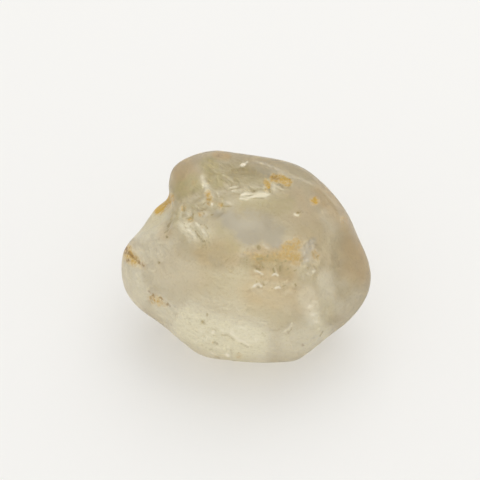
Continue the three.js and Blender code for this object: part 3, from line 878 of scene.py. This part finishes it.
def add_group(piece, name, weights):
    """Adds a vertex group, which a modifier can be kept to."""
    group = piece.vertex_groups.new(name=name)
    for index in np.nonzero(weights > FAINTEST)[0]:
        group.add([int(index)], float(weights[index]), "REPLACE")


def face_turned(turn):
    """The face's frame, turned about its w axis by an angle in degrees, as Euler angles."""
    return (FACE_AXES.transposed() @ Matrix.Rotation(math.radians(turn), 3, "Z")).to_euler()


def roughen(piece, zone, height, kind, size, turn, settings):
    """Displaces a zone by a noise whose lumps have a size in millimetres along the face."""
    texture = bpy.data.textures.new(zone, kind)
    texture.noise_scale = 1
    for name, value in settings.items():
        setattr(texture, name, value)
    bpy.ops.object.select_all(action="DESELECT")
    bpy.ops.object.empty_add(location=MIDDLE, rotation=face_turned(turn))
    guide = bpy.context.object
    guide.scale = Vector(size) * MM
    bpy.context.view_layer.update()
    apply_modifier(
        piece, "DISPLACE", texture=texture, texture_coords="OBJECT",
        texture_coords_object=guide, strength=height, mid_level=0.5, vertex_group=zone,
    )
    bpy.data.objects.remove(guide)


def carve_face(stone, sizes):
    """Sinks the pits and scarps, then roughens each zone by its own noise."""
    places = face_places(stone)
    heights = vertex_places(stone)[:, 2] / MM
    groups = {
        "sunken": sunken(places),
        "scar": strengths(places, SCAR),
        "pits": strengths(places, GATHERED_PITS),
        "foot": strengths(places, FOOT),
        "skin": smooth_step(heights, BASE_CALM, BASE_WAVED),
    }
    for name, weights in groups.items():
        add_group(stone, name, weights)
    apply_modifier(stone, "DISPLACE", strength=-1 * MM, mid_level=0.0, vertex_group="sunken")
    for zone, relief, share, kind, size, turn, settings in ROUGHENING:
        roughen(stone, zone, getattr(sizes, relief) * share, kind, size, turn, settings)
    stone.vertex_groups.clear()


def stain_face(stone):
    """Writes where each stain, film, painted highlight and painted shade lies, for the material to
    read.
    """
    places = face_places(stone)
    values = {name: strengths(places, row[0]) for name, row in SOFT_ZONES.items()}
    values |= {name: closeness(places, row[0]) for name, row in CRISP_MARKS.items()}
    # Painted shade along the rim, strongest at w = 0 where the stone turns away from the camera
    values["rim"] = 1 - smooth_step(np.abs(places[:, 2]), 0, RIM_REACH)
    values["back"] = 1 - on_face(places)
    for name, weights in values.items():
        layer = stone.data.attributes.new(name, "FLOAT", "POINT")
        layer.data.foreach_set("value", weights)


def add_node(tree, kind, inputs=None, **settings):
    """Adds a node with its settings; an input is a plain value or another node's output."""
    node = tree.nodes.new(kind)
    for name, value in settings.items():
        setattr(node, name, value)
    for name, value in (inputs or {}).items():
        if isinstance(value, bpy.types.NodeSocket):
            tree.links.new(value, node.inputs[name])
        else:
            node.inputs[name].default_value = value
    return node


class Skin:
    """The node tree of the stone's material, with its noises and masks by name."""

    def __init__(self, material):
        material.use_nodes = True
        self.tree = material.node_tree
        self.tree.nodes.clear()
        self.place = add_node(self.tree, "ShaderNodeTexCoord").outputs["Object"]
        self.values = {name: self.noise(*row) for name, row in NOISES.items()}
        self.add_masks()

    def noise(self, size, turn, detail, distortion):
        """Noise whose lumps have a size in millimetres along the face's turned axes."""
        turned = add_node(self.tree, "ShaderNodeMapping", {
            "Vector": self.place, "Location": MIDDLE, "Rotation": face_turned(turn),
            "Scale": Vector(size) * MM,
        }, vector_type="TEXTURE").outputs["Vector"]
        return add_node(self.tree, "ShaderNodeTexNoise", {
            "Vector": turned, "Scale": 1.0, "Detail": detail, "Distortion": distortion,
        }).outputs["Fac"]

    def maths(self, operation, first, second, clamp=False):
        return add_node(
            self.tree, "ShaderNodeMath", {0: first, 1: second},
            operation=operation, use_clamp=clamp,
        ).outputs["Value"]

    def between(self, value, start, end):
        """0 up to the start, 1 from the end on and a soft step between; either may be larger."""
        return add_node(self.tree, "ShaderNodeMapRange", {
            "Value": value, "From Min": start, "From Max": end,
        }, interpolation_type="SMOOTHSTEP").outputs["Result"]

    def painted(self, name):
        """What stain_face wrote under a name."""
        return add_node(self.tree, "ShaderNodeAttribute", attribute_name=name).outputs["Fac"]

    def total(self, start, shares):
        """A start plus shares of named values, kept between 0 and 1."""
        for name, share in shares.items():
            part = self.maths("MULTIPLY", self.values[name], share)
            start = self.maths("ADD", start, part, clamp=True)
        return start

    def shift(self, pattern, amount):
        """How far a noise moves the edge of a zone or a mark."""
        off = self.maths("SUBTRACT", self.values[pattern], NOISE_MIDDLE)
        return self.maths("MULTIPLY", off, amount)

    def ragged(self, name, pattern, amount):
        """A painted zone with its edge broken up by a noise."""
        zone = self.painted(name)
        gate = self.maths("MULTIPLY", zone, EDGE_GATE, clamp=True)
        shift = self.maths("MULTIPLY", self.shift(pattern, amount), gate)
        return self.maths("ADD", zone, shift, clamp=True)

    def crisp(self, name, pattern, amount, full):
        """A mask from how close a mark is: 0 at its edge and 1 at full, its edge broken up."""
        near = self.maths("ADD", self.painted(name), self.shift(pattern, amount))
        return self.between(near, 0.0, full)

    def veins(self):
        """Thin painted highlight lines wherever a noise crosses its middle, in the scar and the
        foot.
        """
        lines = 0.0
        for pattern, half, strength in VEINS:
            off = self.maths("SUBTRACT", self.values[pattern], NOISE_MIDDLE)
            line = self.between(self.maths("ABSOLUTE", off, 0.0), half, 0.0)
            lines = self.maths("ADD", lines, self.maths("MULTIPLY", line, strength), clamp=True)
        zone = self.maths("MAXIMUM", self.values["scar"], self.values["foot"])
        return self.maths("MULTIPLY", lines, zone)

    def add_masks(self):
        """Works out where stains, films, painted highlights and shade lie and the skin is broken, 0
        to 1.
        """
        values = self.values
        values |= {name: self.ragged(name, *row[1:]) for name, row in SOFT_ZONES.items()}
        values |= {name: self.crisp(name, *row[1:]) for name, row in CRISP_MARKS.items()}
        values |= {"rim": self.painted("rim"), "back": self.painted("back"), "stone": 1.0}
        values["foot"] = self.maths("MULTIPLY", values["foot"], FOOT_SHARE)
        values["pits"] = self.maths("MAXIMUM", values["pits"], values["foot"])
        values["clear"] = self.maths("MULTIPLY", values["clear"], CLEAR_SHARE)
        values["matt"] = self.maths("SUBTRACT", 1.0, values["clear"])
        values["broken"] = self.maths("MAXIMUM", values["scar"], values["pits"])
        values["smooth"] = self.maths("MAXIMUM", values["clear"], values["broken"])
        values["ridges"] = self.maths("MULTIPLY", values["streaks"], values["scar"])
        values["crumbs"] = self.maths("MULTIPLY", values["specks"], values["pits"])
        values["veins"] = self.veins()
        for name, shares in ADDED.items():
            values[name] = self.total(values[name], shares)
        for name, pattern, start, end, zone, strength in SCATTERED:
            marks = self.maths("MULTIPLY", self.between(values[pattern], start, end), values[zone])
            marks = self.maths("MULTIPLY", marks, strength)
            values[name] = self.maths("ADD", values[name], marks, clamp=True)


def worn_topaz(colours):
    """Topaz, tumbled in a river: a clear crystal under a finely pitted, frosted skin."""
    material = bpy.data.materials.new("worn_topaz")
    skin = Skin(material)
    colour = [*colours.skin, 1]
    for name in LAYERS:
        colour = add_node(skin.tree, "ShaderNodeMixRGB", {
            "Fac": skin.values[name],
            "Color1": colour,
            "Color2": [*getattr(colours, name), 1],
        }).outputs["Color"]
    bump = add_node(skin.tree, "ShaderNodeBump", {
        "Height": skin.total(0.0, RELIEF),
        "Strength": skin.maths("SUBTRACT", 1.0, skin.total(0.0, POLISH)),
        "Distance": RELIEF_HEIGHT,
    }).outputs["Normal"]
    surface = add_node(skin.tree, "ShaderNodeBsdfPrincipled", {
        "Base Color": colour,
        "Roughness": skin.total(ROUGHNESS_START, ROUGHNESS),
        "IOR": TOPAZ_IOR,
        "Transmission Weight": skin.maths("SUBTRACT", 1.0, skin.total(0.0, HAZE)),
        "Normal": bump,
    }).outputs["BSDF"]
    inside = add_node(skin.tree, "ShaderNodeVolumeAbsorption", {
        "Color": [*colours.straw, 1],
        "Density": TINT_DENSITY,
    }).outputs["Volume"]
    add_node(skin.tree, "ShaderNodeOutputMaterial", {"Surface": surface, "Volume": inside})
    return material


def backlit_sheet(colours):
    """White acrylic sheet, lit a little from below: a matt floor whose shadows stay pale."""
    material = bpy.data.materials.new("backlit_sheet")
    material.use_nodes = True
    tree = material.node_tree
    tree.nodes.clear()
    surface = add_node(tree, "ShaderNodeBsdfPrincipled", {
        "Base Color": [*colours.paper, 1],
        "Roughness": SHEET_ROUGHNESS,
        "Specular IOR Level": SHEET_SPECULAR,
        "Emission Color": GLOW_COLOUR,
        "Emission Strength": SHEET_GLOW,
    }).outputs["BSDF"]
    add_node(tree, "ShaderNodeOutputMaterial", {"Surface": surface})
    return material


class TOPAZ_OT_stone(bpy.types.Operator):
    """Models the worn crystal round its CAD solid"""

    bl_idname = "topaz.stone"
    bl_label = "Worn crystal"

    def execute(self, context):
        sizes = context.scene.topaz_sizes
        stone = copy_of_cad_node("worn_topaz")
        apply_modifier(stone, "SUBSURF", levels=1, render_levels=1)
        apply_modifier(stone, "REMESH", mode="VOXEL", voxel_size=sizes.grid)
        apply_modifier(stone, "SMOOTH", factor=0.5, iterations=sizes.smoothing)
        carve_face(stone, sizes)
        stain_face(stone)
        stone.data.materials.clear()
        stone.data.materials.append(worn_topaz(context.scene.topaz_colours))
        bpy.ops.object.shade_smooth()
        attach(stone, "root")
        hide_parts(CAD_NODE)
        return {"FINISHED"}


class TOPAZ_OT_stage(bpy.types.Operator):
    """Sets up the sheet, the soft light and the camera"""

    bl_idname = "topaz.stage"
    bl_label = "Stage"

    def execute(self, context):
        self.add_floor(context)
        self.add_lights(context)
        self.add_camera(context)
        context.scene.view_settings.view_transform = "Standard"
        return {"FINISHED"}

    def add_floor(self, context):
        bpy.ops.object.select_all(action="DESELECT")
        bpy.ops.mesh.primitive_plane_add(size=SHEET_WIDTH)
        floor = context.object
        floor.name = "floor"
        floor.data.materials.append(backlit_sheet(context.scene.topaz_colours))

    def add_lights(self, context):
        world = bpy.data.worlds.new("light_tent")
        world.use_nodes = True
        tent = world.node_tree.nodes["Background"]
        tent.inputs["Color"].default_value = TENT_COLOUR
        tent.inputs["Strength"].default_value = TENT_STRENGTH
        context.scene.world = world
        bpy.ops.object.light_add(type="AREA", location=SOFTBOX_PLACE)
        light = context.object
        light.name = "softbox"
        light.data.size = SOFTBOX_WIDTH
        light.data.energy = SOFTBOX_POWER
        light.rotation_euler = (-light.location).to_track_quat("-Z", "Y").to_euler()

    def add_camera(self, context):
        bpy.ops.object.camera_add(location=from_face(*CAMERA_AIM, CAMERA_DISTANCE))
        camera = context.object
        camera.data.lens = LENS
        camera.data.sensor_width = SENSOR
        camera.data.clip_start = CLIP_START
        camera.rotation_euler = FACE_AXES.transposed().to_euler()
        context.scene.camera = camera


class TOPAZ_PT_panel(bpy.types.Panel):
    """Lists what the add-on builds and its settings"""

    bl_label = "Water-worn Topaz"
    bl_idname = "TOPAZ_PT_panel"
    bl_space_type = "VIEW_3D"
    bl_region_type = "UI"
    bl_category = "Topaz"

    def draw(self, context):
        for group in (context.scene.topaz_sizes, context.scene.topaz_colours):
            for name in group.__annotations__:
                self.layout.prop(group, name)
        for operator in OPERATORS:
            self.layout.operator(operator.bl_idname)


OPERATORS = (TOPAZ_OT_stone, TOPAZ_OT_stage)
CLASSES = (TopazSizes, TopazColours, *OPERATORS, TOPAZ_PT_panel)


def register():
    for cls in CLASSES:
        bpy.utils.register_class(cls)
    bpy.types.Scene.topaz_sizes = PointerProperty(type=TopazSizes)
    bpy.types.Scene.topaz_colours = PointerProperty(type=TopazColours)


def unregister():
    del bpy.types.Scene.topaz_colours
    del bpy.types.Scene.topaz_sizes
    for cls in reversed(CLASSES):
        bpy.utils.unregister_class(cls)


def main():
    register()
    bpy.ops.topaz.stone()
    bpy.ops.topaz.stage()


if __name__ == "__main__":
    main()
